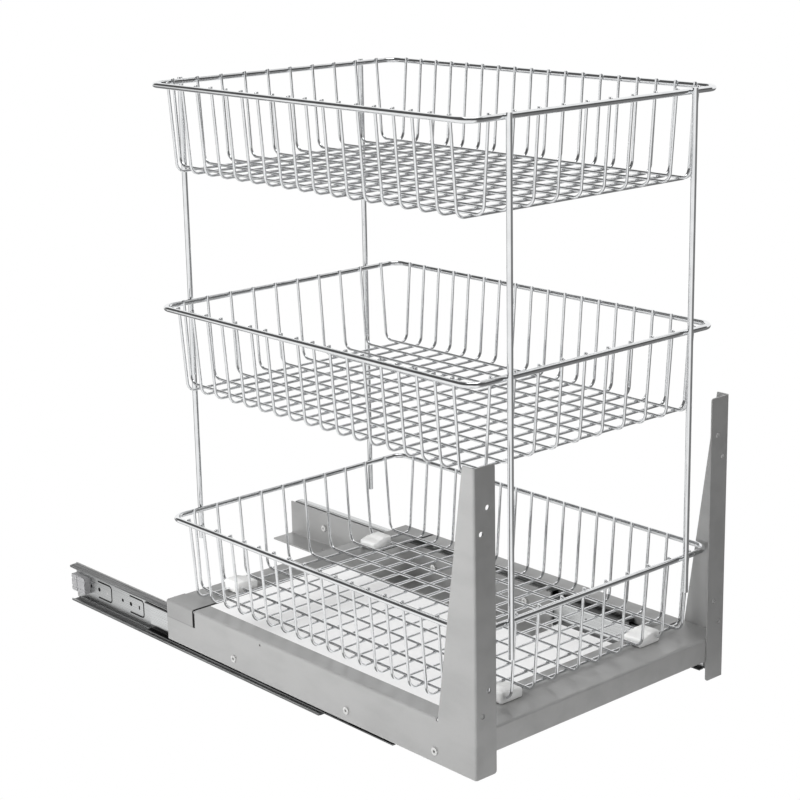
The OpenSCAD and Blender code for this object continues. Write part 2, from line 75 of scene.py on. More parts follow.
SIDES = ("left", "right")
ENDS = ("front", "rear")
TIERS = ("bottom", "middle", "top")
MM = 0.001

SLIDE_Z = 24 * MM  # middle of the slides above the cabinet floor
OUTER_RACE = 19.5 * MM  # where the grease and painted shade in a race begin, above and below that middle
MIDDLE_RACE = 11 * MM
INNER_RACE = 9 * MM


def sign_of(side):
    """-1 on the left, 1 on the right: the sides mirror each other across X = 0."""
    return -1 if side == "left" else 1


# ------------------------------------------------------------------ sizes and colours


class WireSettings(bpy.types.PropertyGroup):
    """Chrome wire and its welds."""

    color: FloatVectorProperty(
        name="Chrome",
        description="Reflectance of the chrome plate",
        subtype="COLOR",
        size=3,
        min=0,
        max=1,
        default=(0.86, 0.87, 0.88),
    )
    roughness: FloatProperty(
        name="Roughness", description="Gloss of the chrome plate", min=0, max=1, default=0.07
    )
    cross_wires: IntProperty(
        name="Cross wires", description="Wires that run across a basket", min=2, default=18
    )
    long_wires: IntProperty(
        name="Long wires", description="Wires that run from front to back", min=2, default=10
    )
    rim_wire: FloatProperty(
        name="Rim wire", description="Diameter of the rims", unit="LENGTH", default=6 * MM
    )
    mesh_wire: FloatProperty(
        name="Mesh wire", description="Diameter of the bent wires", unit="LENGTH", default=3 * MM
    )
    rim_weld: FloatVectorProperty(
        name="Rim weld",
        description="Half axes of a weld at the rim: along it, across it and down",
        unit="LENGTH",
        size=3,
        default=(1.7 * MM, 2.2 * MM, 1.4 * MM),
    )
    weld_spread: FloatProperty(
        name="Weld spread",
        description="How far a weld reaches out beside a wire",
        unit="LENGTH",
        default=0.7 * MM,
    )


class SheetSettings(bpy.types.PropertyGroup):
    """Powder-coated sheet steel."""

    color: FloatVectorProperty(
        name="Paint",
        description="Silver-grey powder coat",
        subtype="COLOR",
        size=3,
        min=0,
        max=1,
        default=(0.38, 0.38, 0.377),
    )
    roughness: FloatProperty(
        name="Roughness", description="Gloss of the powder coat", min=0, max=1, default=0.42
    )
    flake: FloatProperty(
        name="Flake", description="Share of metal flake in the paint", min=0, max=1, default=0.3
    )
    handling: FloatProperty(
        name="Handling",
        description="Strength of the faint marks that handling leaves on the paint",
        min=0,
        max=1,
        default=0.2,
    )
    # Painted light: lit and shaded copies of the one paint, lighter on the front and darker on
    # the rear, standing in for how the light falls on them.
    painted_light_shades: FloatVectorProperty(
        name="Shades",
        description="How light the paint is on the sides, the rear and the front",
        size=3,
        default=(1.0, 0.86, 1.12),
    )
    # Painted shade: the colour laid where the gap between two sheets falls into shade.
    seam: FloatVectorProperty(
        name="Seam",
        description="Darkness of the gap where two sheets meet",
        subtype="COLOR",
        size=3,
        min=0,
        max=1,
        default=(0.03, 0.03, 0.03),
    )
    peel: FloatProperty(
        name="Orange peel",
        description="Size of the ripples in the powder coat",
        unit="LENGTH",
        default=1.6 * MM,
    )


class SlideSettings(bpy.types.PropertyGroup):
    """Zinc-plated slide members, ball cages and balls."""

    zinc: FloatVectorProperty(
        name="Zinc",
        description="Bright zinc plate on the slide members",
        subtype="COLOR",
        size=3,
        min=0,
        max=1,
        default=(0.70, 0.71, 0.71),
    )
    # Grease and painted shade: the dark in the races stands in for their shade as well as for
    # grease.
    grease_and_shade: FloatVectorProperty(
        name="Grease",
        description="Dark film of grease in the races",
        subtype="COLOR",
        size=3,
        min=0,
        max=1,
        default=(0.06, 0.06, 0.061),
    )
    # Grease and painted shade: it also darkens the left member's outer lips, standing in for the
    # shade under the rail.
    outer_film_and_shade: FloatVectorProperty(
        name="Grease film",
        description="Thin grease on the races and lips of the outer member",
        subtype="COLOR",
        size=3,
        min=0,
        max=1,
        default=(0.05, 0.05, 0.051),
    )
    # Painted shade on the edges of the holes and lances, so that they look deep and dark.
    slot_edge_shade: FloatVectorProperty(
        name="Cut edges",
        description="Bare, dirty edges of the holes and lances",
        subtype="COLOR",
        size=3,
        min=0,
        max=1,
        default=(0.03, 0.03, 0.03),
    )
    cage: FloatVectorProperty(
        name="Ball cage",
        description="Dark pressed strip that spaces the balls",
        subtype="COLOR",
        size=3,
        min=0,
        max=1,
        default=(0.12, 0.12, 0.122),
    )
    ball: FloatVectorProperty(
        name="Ball",
        description="Polished bearing ball",
        subtype="COLOR",
        size=3,
        min=0,
        max=1,
        default=(0.78, 0.78, 0.79),
    )
    roll_line: FloatProperty(
        name="Rolling lines",
        description="Width of the fine lines that cold rolling leaves along the strip",
        unit="LENGTH",
        default=0.5 * MM,
    )


class MouldingSettings(bpy.types.PropertyGroup):
    """Plastic clips and buffers."""

    clip: FloatVectorProperty(
        name="Clip",
        description="Milky white plastic of the basket clips",
        subtype="COLOR",
        size=3,
        min=0,
        max=1,
        default=(0.92, 0.92, 0.91),
    )
    buffer: FloatVectorProperty(
        name="Buffer",
        description="Grey plastic of the slides' rear buffers",
        subtype="COLOR",
        size=3,
        min=0,
        max=1,
        default=(0.36, 0.36, 0.367),
    )
    clip_size: FloatVectorProperty(
        name="Clip size",
        description="Width, length and height of a basket clip",
        unit="LENGTH",
        size=3,
        default=(30 * MM, 24 * MM, 13 * MM),
    )
    clip_saddle: FloatVectorProperty(
        name="Clip saddle",
        description="Width of the hump over the wire, and how far the rest lies below it",
        unit="LENGTH",
        size=2,
        default=(14 * MM, 3 * MM),
    )
    edge_radius: FloatProperty(
        name="Edge radius",
        description="Rounding of the moulded edges",
        unit="LENGTH",
        default=2.4 * MM,
    )


class FastenerSettings(bpy.types.PropertyGroup):
    """Rivets and screws."""

    color: FloatVectorProperty(
        name="Zinc",
        description="Bright zinc plate on rivets and screws",
        subtype="COLOR",
        size=3,
        min=0,
        max=1,
        default=(0.80, 0.80, 0.79),
    )


class StudioSettings(bpy.types.PropertyGroup):
    """Camera, lamps, floor and backdrop."""

    camera_place: FloatVectorProperty(
        name="Camera",
        description="Where the camera stands",
        subtype="TRANSLATION",
        unit="LENGTH",
        size=3,
        default=(-1.336, -1.6748, 0.838),
    )
    heading: FloatProperty(
        name="Heading",
        description="Turn of the camera about the vertical, 0 looking into the cabinet",
        subtype="ANGLE",
        default=math.radians(-41.59),
    )
    tilt: FloatProperty(
        name="Tilt",
        description="How far the camera looks down",
        subtype="ANGLE",
        default=math.radians(15.2),
    )
    roll: FloatProperty(
        name="Roll",
        description="Turn of the camera about its own axis",
        subtype="ANGLE",
        default=math.radians(-1.13),
    )
    lens: FloatProperty(
        name="Lens", description="Focal length", unit="CAMERA", default=87.45
    )
    white: FloatVectorProperty(
        name="Backdrop",
        description="Colour of the floor and the backdrop",
        subtype="COLOR",
        size=3,
        min=0,
        max=1,
        default=(1.0, 1.0, 1.0),
    )
    room: FloatProperty(
        name="Dark room",
        description="Brightness of the room above the backdrop, as shiny metal reflects it",
        min=0,
        max=1,
        default=0.09,
    )
    card: FloatProperty(
        name="Cards",
        description="Brightness of the cards on both sides, as shiny metal reflects them",
        min=0,
        max=1,
        default=0.95,
    )
    floor_side: FloatProperty(
        name="Dark floor",
        description="Brightness of the floor on the right, as shiny metal reflects it",
        min=0,
        max=1,
        default=0.2,
    )
    floor_under: FloatProperty(
        name="Floor below",
        description="Brightness of the floor below the unit, as shiny metal reflects it",
        min=0,
        max=1,
        default=0.85,
    )
    floor_bounce: FloatProperty(
        name="Floor bounce",
        description="Share of the light that the floor throws back at the unit",
        min=0,
        max=1,
        default=0.6,
    )
    floor_glow: FloatProperty(
        name="Floor glow",
        description="How much of its shade the floor inside the frame makes up for by glowing",
        min=0,
        max=1,
        default=0.56,
    )
    even_light: FloatProperty(
        name="Even light",
        description="Brightness of the light that reaches the unit from all round",
        min=0,
        default=0.22,
    )
    key_power: FloatProperty(
        name="Key lamp",
        description="Power of the large lamp on the left",
        unit="POWER",
        default=24.0,
    )
    top_power: FloatProperty(
        name="Top lamp", description="Power of the lamp overhead", unit="POWER", default=20.0
    )
    fill_power: FloatProperty(
        name="Fill lamp",
        description="Power of the weak lamp in front",
        unit="POWER",
        default=15.0,
    )


# ------------------------------------------------------------------ node helpers

NOISE_SPAN = (0.3, 0.7)  # nearly all values of a noise lie in it


def fade(tree, value, span, result=(0.0, 1.0), shape="SMOOTHSTEP"):
    """Goes from result[0] to result[1] while value crosses span."""
    step = tree.nodes.new("ShaderNodeMapRange")
    step.interpolation_type = shape
    for name, number in zip(("From Min", "From Max", "To Min", "To Max"), (*span, *result)):
        step.inputs[name].default_value = number
    tree.links.new(value, step.inputs["Value"])
    return step.outputs["Result"]


def calculate(tree, operation, *operands):
    """One of Blender's Math operations; each operand is a socket or a float."""
    step = tree.nodes.new("ShaderNodeMath")
    step.operation = operation
    for socket, operand in zip(step.inputs, operands):
        if isinstance(operand, float):
            socket.default_value = operand
        else:
            tree.links.new(operand, socket)
    return step.outputs["Value"]


def all_of(tree, *amounts):
    """1 where all amounts are 1, and 0 where one of them is 0."""
    return reduce(lambda first, second: calculate(tree, "MULTIPLY", first, second), amounts)


def any_of(tree, *amounts):
    """The largest of the amounts."""
    return reduce(lambda first, second: calculate(tree, "MAXIMUM", first, second), amounts)


def band(tree, value, low, high, soft):
    """1 from low to high, fading to 0 over the distance soft outside them."""
    rise = fade(tree, value, (low - soft, low))
    return all_of(tree, rise, fade(tree, value, (high, high + soft), (1.0, 0.0)))


def on_part(tree, output):
    """X, Y and Z on the part at rest: of a point, in metres, for the output Object, and of the
    way that its surface faces for Normal."""
    place = tree.nodes.new("ShaderNodeTexCoord")
    split = tree.nodes.new("ShaderNodeSeparateXYZ")
    tree.links.new(place.outputs[output], split.inputs["Vector"])
    return [split.outputs[axis] for axis in "XYZ"]


def grain(tree, size, stretch=(1, 1, 1), detail=2.0):
    """Noise whose features measure about size metres, longer along the axes in stretch."""
    place = tree.nodes.new("ShaderNodeTexCoord")
    scale = tree.nodes.new("ShaderNodeMapping")
    scale.inputs["Scale"].default_value = [1 / (size * s) for s in stretch]
    noise = tree.nodes.new("ShaderNodeTexNoise")
    noise.inputs["Scale"].default_value = 1.0
    noise.inputs["Detail"].default_value = detail
    tree.links.new(place.outputs["Object"], scale.inputs["Vector"])
    tree.links.new(scale.outputs["Vector"], noise.inputs["Vector"])
    return noise.outputs["Fac"]


# ------------------------------------------------------------------ finishes


def shaded(color, factor):
    """The colour made darker or lighter by a factor."""
    return [min(1.0, c * factor) for c in color]


def new_finish(name, color, roughness, metallic=0.0):
    """A Principled material in one even colour; the functions below add its detail."""
    material = bpy.data.materials.new(name)
    material.use_nodes = True
    shader = material.node_tree.nodes["Principled BSDF"]
    shader.inputs["Base Color"].default_value = (*color, 1)
    shader.inputs["Metallic"].default_value = metallic
    shader.inputs["Roughness"].default_value = roughness
    return material


def vary_roughness(tree, height, low, high):
    """Roughness that wanders between low and high with the grain."""
    spread = fade(tree, height, NOISE_SPAN, (low, high), shape="LINEAR")
    tree.links.new(spread, tree.nodes["Principled BSDF"].inputs["Roughness"])


def vary_color(tree, height, color, dark, light):
    """Base colour that wanders with the grain between the factors dark and light."""
    ramp = tree.nodes.new("ShaderNodeValToRGB")
    for stop, place, factor in zip(ramp.color_ramp.elements, NOISE_SPAN, (dark, light)):
        stop.position = place
        stop.color = (*shaded(color, factor), 1)
    tree.links.new(height, ramp.inputs["Fac"])
    tree.links.new(ramp.outputs["Color"], tree.nodes["Principled BSDF"].inputs["Base Color"])


def emboss(tree, height, depth):
    """Relief of the given depth in metres, following the grain."""
    bump = tree.nodes.new("ShaderNodeBump")
    bump.inputs["Distance"].default_value = depth
    bump.inputs["Strength"].default_value = 1.0
    tree.links.new(height, bump.inputs["Height"])
    tree.links.new(bump.outputs["Normal"], tree.nodes["Principled BSDF"].inputs["Normal"])


def stain(tree, amount, color):
    """Covers a finish with another colour where amount is 1."""
    base = tree.nodes["Principled BSDF"].inputs["Base Color"]
    mix = tree.nodes.new("ShaderNodeMix")
    mix.data_type = "RGBA"
    tree.links.new(amount, mix.inputs["Factor"])
    tree.links.new(base.links[0].from_socket, mix.inputs["A"])
    mix.inputs["B"].default_value = (*color, 1)
    tree.links.new(mix.outputs["Result"], base)


def dull(tree, amount, metallic):
    """Makes a metal less metallic where amount is 1."""
    level = tree.nodes["Principled BSDF"].inputs["Metallic"]
    tree.links.new(fade(tree, amount, (0.0, 1.0), (level.default_value, metallic)), level)


def chrome_finish(settings):
    """Bright chrome plate: mirror-like, with drawn-wire ripples and patches of light haze."""
    material = new_finish("chrome_plate", settings.color, settings.roughness, metallic=1.0)
    tree = material.node_tree
    haze = grain(tree, size=14 * MM)
    vary_roughness(tree, haze, settings.roughness * 0.6, settings.roughness * 1.6)
    vary_color(tree, haze, settings.color, dark=0.93, light=1.04)
    emboss(tree, grain(tree, size=5 * MM), depth=0.03 * MM)
    return material


def paint_finish(name, settings, shade):
    """Silver-grey powder coat: metal flake under orange peel, and faint marks of handling."""
    # shade makes a lit or shaded copy of the paint: painted light.
    color = shaded(settings.color, shade)
    material = new_finish(name, color, settings.roughness, metallic=settings.flake)
    tree = material.node_tree
    vary_color(tree, grain(tree, size=0.35 * MM, detail=1.0), color, dark=0.90, light=1.10)
    smudges = grain(tree, size=22 * MM, stretch=(1, 3, 1), detail=4.0)
    handled = fade(tree, smudges, (0.4, 0.7), (0.0, settings.handling))
    stain(tree, handled, shaded(color, 0.6))
    cloud = grain(tree, size=60 * MM)
    vary_roughness(tree, cloud, settings.roughness * 0.72, settings.roughness * 1.2)
    emboss(tree, grain(tree, settings.peel), depth=0.025 * MM)
    return material


def film_and_shade_cover(tree, x, height):
    """Where the outer members carry their grease and painted shade: inside the races, and on the
    left member outside too, where it is painted shade only."""
    above = calculate(tree, "SIGN", height)
    outward = calculate(tree, "MULTIPLY", on_part(tree, "Normal")[2], above)
    inside = fade(tree, outward, (-0.3, 0.0), (1.0, 0.0))
    on_left = fade(tree, x, (-MM, MM), (1.0, 0.0))
    return any_of(tree, inside, on_left)


def slot_edge_shade_mask(tree, y, away, race):
    """Where painted shade darkens the edges of the holes and lances in an outer member's web,
    clear of its two ends.
    """
    web = fade(tree, away, (race - 3 * MM, race - 2 * MM), (1.0, 0.0))
    across_web = calculate(tree, "ABSOLUTE", on_part(tree, "Normal")[0])
    edge_on = fade(tree, across_web, (0.3, 0.6), (1.0, 0.0))
    (_, start, _), (_, end, _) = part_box("slide_outer_left")
    inland = band(tree, y, start + 2 * MM, end - 2 * MM, soft=MM)
    return all_of(tree, edge_on, web, inland)


def zinc_finish(name, settings, race, grease_and_shade, outer=False):
    """Zinc plate over cold-rolled strip, with lines along the strip (Y) and dark grease and
    painted shade in the races, which start at the distance race above and below the middle of the
    slide. On the outer members this is a dull film that also lies on the lips, and the edges in
    the web are darkened with painted shade."""
    roughness = 0.3
    material = new_finish(name, settings.zinc, roughness, metallic=1.0)
    tree = material.node_tree
    lines = grain(tree, settings.roll_line, stretch=(1, 160, 1), detail=3.0)
    vary_color(tree, lines, settings.zinc, dark=0.78, light=1.12)
    vary_roughness(tree, lines, roughness * 0.75, roughness * 1.3)
    emboss(tree, lines, depth=0.012 * MM)

    x, y, z = on_part(tree, "Object")
    height = calculate(tree, "SUBTRACT", z, SLIDE_Z)
    away = calculate(tree, "ABSOLUTE", height)
    smear = calculate(tree, "MULTIPLY", grain(tree, size=4 * MM, stretch=(1, 6, 1)), MM)
    wander = calculate(tree, "ADD", away, smear)
    streaks = fade(tree, lines, (0.35, 0.7), (1.0, 0.7))
    # Grease and painted shade in the races, broken by the rolling lines.
    grease_and_shade_mask = all_of(tree, fade(tree, wander, (race, race + 1.5 * MM)), streaks)
    # On the outer members the dark film is grease and painted shade, dulled and given little
    # shine.
    if outer:
        grease_and_shade_mask = all_of(tree, grease_and_shade_mask, film_and_shade_cover(tree, x, height))
        dull(tree, grease_and_shade_mask, metallic=0.2)
        tree.nodes["Principled BSDF"].inputs["Specular IOR Level"].default_value = 0.15
    stain(tree, grease_and_shade_mask, grease_and_shade)
    if outer:
        # Painted shade on the edges of the holes and lances in the web.
        stain(tree, slot_edge_shade_mask(tree, y, away, race), settings.slot_edge_shade)
    return material


def base_finish(settings, grease_and_shade):
    """The paint of the base angles, with nearly black painted shade on their outer faces behind
    the slides, which shows through the slides' holes and slots.
    """
    material = paint_finish("silver_paint_base", settings, settings.painted_light_shades[0])
    tree = material.node_tree
    x, y, z = on_part(tree, "Object")
    side = calculate(tree, "SIGN", x)
    outward = calculate(tree, "MULTIPLY", side, on_part(tree, "Normal")[0])
    (_, start, low), (_, end, high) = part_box("slide_outer_left")
    shade_behind_slides = all_of(
        tree,
        band(tree, y, start + MM, end - MM, soft=MM),
        band(tree, z, low + MM, high - MM, soft=MM),
        fade(tree, outward, (0.7, 0.9)),
    )
    # Painted shade: the faces hidden behind the slide are darkened so that the holes and slots
    # look deep.
    stain(tree, shade_behind_slides, grease_and_shade)
    return material


# Painted shade: the seam's gap and the line below the side tabs are darkened in colour, not cut
# into the sheet.
SEAM_REACH = (-3.1 * MM, 0.8 * MM)  # the gap, along Y from the cross member's front edge
LAP_REACH = (-0.5 * MM, 0.4 * MM)  # the line, along Z from the lower edge of the side tabs
LAP_STRENGTH = 0.25  # how dark the line is beside the gap


def paint_with_seam_shade(name, settings, shade):
    """Paint with painted shade for the gap at the rear cross member's front edge, and a faint
    painted shade line that its side tabs leave along the rails."""
    material = paint_finish(name, settings, shade)
    tree = material.node_tree
    _, y, z = on_part(tree, "Object")
    (_, start, tab_low), (_, end, _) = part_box("rear_cross_member")
    seam = all_of(
        tree,
        band(tree, y, start + SEAM_REACH[0], start + SEAM_REACH[1], soft=0.4 * MM),
        fade(tree, z, (tab_low - 0.5 * MM, tab_low)),
    )
    lap_shade = all_of(
        tree,
        band(tree, z, tab_low + LAP_REACH[0], tab_low + LAP_REACH[1], soft=0.5 * MM),
        band(tree, y, start, end, soft=0.5 * MM),
    )
    faint_lap_shade = calculate(tree, "MULTIPLY", lap_shade, LAP_STRENGTH)
    stain(tree, any_of(tree, seam, faint_lap_shade), settings.seam)
    return material


def cage_finish(settings):
    """Dark burnished strip of the ball cages."""
    material = new_finish("burnished_cage_strip", settings.cage, roughness=0.45, metallic=0.6)
    tree = material.node_tree
    rub = grain(tree, size=3 * MM, stretch=(1, 12, 1))
    vary_color(tree, rub, settings.cage, dark=0.7, light=1.8)
    vary_roughness(tree, rub, low=0.35, high=0.6)
    return material


def ball_finish(settings):
    """Polished bearing steel with a film of grease."""
    material = new_finish("polished_ball", settings.ball, roughness=0.08, metallic=1.0)
    tree = material.node_tree
    vary_roughness(tree, grain(tree, size=1.5 * MM), low=0.04, high=0.2)
    return material


def clip_finish(settings):
    """Milky white nylon with flow marks of the moulding."""
    material = new_finish("milky_nylon", settings.clip, roughness=0.42)
    tree = material.node_tree
    flow = grain(tree, size=9 * MM, stretch=(2.5, 1, 1))
    vary_color(tree, flow, settings.clip, dark=0.94, light=1.05)
    skin = grain(tree, size=0.5 * MM)
    vary_roughness(tree, skin, low=0.36, high=0.5)
    emboss(tree, skin, depth=0.012 * MM)
    return material


def buffer_finish(settings):
    """Grey moulded rubbery plastic with a fine spark-eroded skin."""
    material = new_finish("grey_buffer_plastic", settings.buffer, roughness=0.55)
    tree = material.node_tree
    skin = grain(tree, size=0.4 * MM)
    vary_color(tree, skin, settings.buffer, dark=0.88, light=1.1)
    vary_roughness(tree, skin, low=0.48, high=0.66)
    emboss(tree, skin, depth=0.02 * MM)
    return material


def fastener_finish(settings):
    """Bright zinc on small turned and pressed parts."""
    material = new_finish("bright_zinc_fastener", settings.color, roughness=0.26, metallic=1.0)
    tree = material.node_tree
    patches = grain(tree, size=1.8 * MM)
    vary_color(tree, patches, settings.color, dark=0.82, light=1.12)
    vary_roughness(tree, patches, low=0.18, high=0.36)
    emboss(tree, grain(tree, size=0.6 * MM), depth=0.01 * MM)
    return material


# ------------------------------------------------------------------ pieces


def dress(material, *names):
    """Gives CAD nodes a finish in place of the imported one."""
    for name in names:
        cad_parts[name].material_slots[0].material = material


def both(stem):
    """The left and right node names of a stem."""
    return [f"{stem}_{side}" for side in SIDES]


def corners(node):
    """The low and high corner of a CAD node's box."""
    return (Vector(corner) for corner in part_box(node))


def finish_piece(name, bm, material):
    """Turns a bmesh into a piece that rides on the basket unit."""
    mesh = bpy.data.meshes.new(name)
    bmesh.ops.recalc_face_normals(bm, faces=bm.faces)
    bm.to_mesh(mesh)
    bm.free()
    mesh.materials.append(material)
    for polygon in mesh.polygons:
        polygon.use_smooth = True
    piece = bpy.data.objects.new(name, mesh)
    bpy.context.scene.collection.objects.link(piece)
    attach(piece, "basket_unit")
    return piece


def add_nugget(bm, centre, radii, subdivisions=2):
    """A weld nugget: a small ellipsoid with half axes radii."""
    place = Matrix.Translation(centre) @ Matrix.Diagonal((*radii, 1.0))
    bmesh.ops.create_icosphere(bm, subdivisions=subdivisions, radius=1.0, matrix=place)


def spaced(low, high, count):
    """Count evenly spaced places from low to high."""
    return [low + (high - low) * i / (count - 1) for i in range(count)]


# Welds, in radii of the wire that they lie on
RIM_WELD_RISE = 0.86  # centre of a rim weld above the rim's middle
FLOOR_WELD_DEPTH = 0.45  # half height of a weld where the floor's wires cross
POST_WELD = (0.75, 0.55, 1.1)  # half axes of a weld between a rim and a post
RIM_WELD_SINK = 0.1  # how deep a rim weld's centre lies in the rim, in its own half widths


def weld_basket(tier, settings, chrome):
    """Welds of one basket: at the rim ends of every wire, at every crossing of the floor, and
    where the four posts touch the rim."""
    wire = settings.mesh_wire / 2
    rod = settings.rim_wire / 2
    rim_low, rim_high = corners(f"{tier}_basket_rim")
    cross_low, cross_high = corners(f"{tier}_basket_cross_wires")
    long_low, long_high = corners(f"{tier}_basket_long_wires")
    middle = (rim_low + rim_high) / 2
    rim_x = rim_high.x - rod
    rim_y = (rim_high.y - rim_low.y) / 2 - rod
    rows = spaced(cross_low.y + wire, cross_high.y - wire, settings.cross_wires)
    columns = spaced(long_low.x + wire, long_high.x - wire, settings.long_wires)
    bm = bmesh.new()

    along, across, deep = settings.rim_weld
    shoulder = rod - across * RIM_WELD_SINK
    top = middle.z + rod * RIM_WELD_RISE
    for y in rows:
        for x in (-rim_x + shoulder, rim_x - shoulder):
            add_nugget(bm, (x, y, top), (across, along, deep))
    for x in columns:
        for y in (middle.y - rim_y + shoulder, middle.y + rim_y - shoulder):
            add_nugget(bm, (x, y, top), (along, across, deep))

    floor = (cross_low.z + long_low.z) / 2 + wire
    spread = wire + settings.weld_spread
    for y in rows:
        for x in columns:
            radii = (spread, spread, wire * FLOOR_WELD_DEPTH)
            add_nugget(bm, (x, y, floor), radii, subdivisions=1)

    for end in ENDS:
        for side in SIDES:
            post_low, post_high = corners(f"post_{end}_{side}")
            x = (post_low.x + post_high.x) / 2
            y = middle.y + (rim_y + rod) * (-1 if end == "front" else 1)
            add_nugget(bm, (x, y, middle.z), [rod * share for share in POST_WELD])
    finish_piece(f"{tier}_basket_welds", bm, chrome)


def mould_clip(end, side, settings, nylon):
    """A basket clip: a rounded block on the frame, with a hump over the basket's wire."""
    node = f"basket_clip_{end}_{side}"
    low, high = corners(node)
    middle = (low + high) / 2
    width, length, height = settings.clip_size
    hump, drop = settings.clip_saddle
    outline = (
        (-width / 2, 0),
        (width / 2, 0),
        (width / 2, height),
        (width / 2 - hump, height),
        (width / 2 - hump - drop, height - drop),
        (-width / 2, height - drop),
    )
    bm = bmesh.new()
    near, far = (
        [
            bm.verts.new((middle.x + sign_of(side) * u, middle.y + v, low.z + w))
            for u, w in outline
        ]
        for v in (-length / 2, length / 2)
    )
    bm.faces.new(near)
    bm.faces.new(far)
    for i in range(len(outline)):
        bm.faces.new((near[i - 1], near[i], far[i], far[i - 1]))
    bmesh.ops.bevel(
        bm,
        geom=bm.edges[:],
        offset=settings.edge_radius,
        segments=3,
        profile=0.5,
        affect="EDGES",
        clamp_overlap=True,
    )
    clip = finish_piece(f"moulded_{node}", bm, nylon)
    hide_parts(node)


# ------------------------------------------------------------------ studio

FLOOR_HALF = 12.0  # half the side of the floor
FLOOR_GAP = 0.5 * MM  # between the floor and the unit's underside, so that no faces coincide

# The floor inside the frame, in metres from the unit's middle, that shows its shade
SHADE_X = (-0.06, 0.25)
SHADE_X_SOFT = 0.03
SHADE_Y = (-0.19, 0.225)
SHADE_Y_SOFT = 0.04

# What shiny metal sees. Each pair is a span of leans in which a part of the studio fades in
# or out. A lean is 1 straight towards the backdrop, the left or the ceiling, and -1 away.
BACKDROP_AHEAD = (0.55, 0.75)
LOW_CARD_UP = (0.0, 0.14)
LOW_CARD_LEFT = (-0.3, 0.0)
TALL_CARD_LEFT = (-0.5, -0.25)
TALL_CARD_AHEAD = (0.05, 0.3)
FLOOR_BACKDROP_AHEAD = (0.7, 0.85)
FLOOR_CARD_LEFT = (-0.75, -0.45)
FLOOR_CARD_AHEAD = (0.15, 0.35)
UNDER_HALF_AXES = (0.20, 0.33)  # of the ellipse on the floor below the unit, in metres
UNDER_REACH = (1.2, 2.2)  # where the light below the unit fades out, in those half axes

# Name, setting for its power, place from the unit's middle, side, and whether shiny metal
# reflects it
LAMPS = (
    ("key_lamp", "key_power", (-1.25, 0.0, 0.4), 1.1, False),
    ("top_lamp", "top_power", (0.2, -0.2, 2.4), 1.6, True),
    ("fill_lamp", "fill_power", (0.8, -2.6, 0.6), 1.6, False),
)


def add_lamp(name, centre, offset, size, power, reflected):
    """A square area lamp at offset from centre that shines towards it."""
    data = bpy.data.lights.new(name, "AREA")
    data.shape = "SQUARE"
    data.size = size
    data.energy = power
    lamp = bpy.data.objects.new(name, data)
    lamp.location = centre + Vector(offset)
    aim = centre - lamp.location
    lamp.rotation_euler = aim.to_track_quat("-Z", "Y").to_euler()
    lamp.visible_camera = False
    lamp.visible_glossy = reflected
    bpy.context.scene.collection.objects.link(lamp)


def lean_towards(tree, way, target):
    """How far a direction leans towards target: 1 along it, -1 against it."""
    dot = tree.nodes.new("ShaderNodeVectorMath")
    dot.operation = "DOT_PRODUCT"
    dot.inputs[1].default_value = target
    tree.links.new(way, dot.inputs[0])
    return dot.outputs["Value"]


def room_leans(tree, way, studio):
    """How far a direction leans towards the backdrop, and how far to the left of it."""
    ahead_x, ahead_y = -math.sin(studio.heading), math.cos(studio.heading)
    ahead = lean_towards(tree, way, (ahead_x, ahead_y, 0.0))
    left = lean_towards(tree, way, (-ahead_y, ahead_x, 0.0))
    return ahead, left


def reach(tree, place, half_axes):
    """How far out a place on the floor lies: 1 on the ellipse with these half axes in metres."""
    scaled = tree.nodes.new("ShaderNodeVectorMath")
    scaled.operation = "MULTIPLY"
    scaled.inputs[1].default_value = (1 / half_axes[0], 1 / half_axes[1], 0.0)
    tree.links.new(place, scaled.inputs[0])
    length = tree.nodes.new("ShaderNodeVectorMath")
    length.operation = "LENGTH"
    tree.links.new(scaled.outputs["Vector"], length.inputs[0])
    return length.outputs["Value"]


def plain_shader(tree, kind, color, strength=None):
    """A diffuse, emission or background shader in one colour."""
    node = tree.nodes.new(kind)
    node.inputs["Color"].default_value = (*color, 1)
    if isinstance(strength, float):
        node.inputs["Strength"].default_value = strength
    elif strength is not None:
        tree.links.new(strength, node.inputs["Strength"])
    return node.outputs[0]


def blend(tree, amount, first, second):
    """The first shader where amount is 0, the second where it is 1."""
    mix = tree.nodes.new("ShaderNodeMixShader")
    for source, socket in zip((amount, first, second), mix.inputs):
        tree.links.new(source, socket)
    return mix.outputs["Shader"]


def by_ray(tree, matte, shiny, seen):
    """One shader for the light that falls on matte things, one for what shiny things reflect
    and one for what the camera sees."""
    path = tree.nodes.new("ShaderNodeLightPath").outputs
    mirrored = any_of(tree, path["Is Glossy Ray"], path["Is Transmission Ray"])
    return blend(tree, path["Is Camera Ray"], blend(tree, mirrored, matte, shiny), seen)


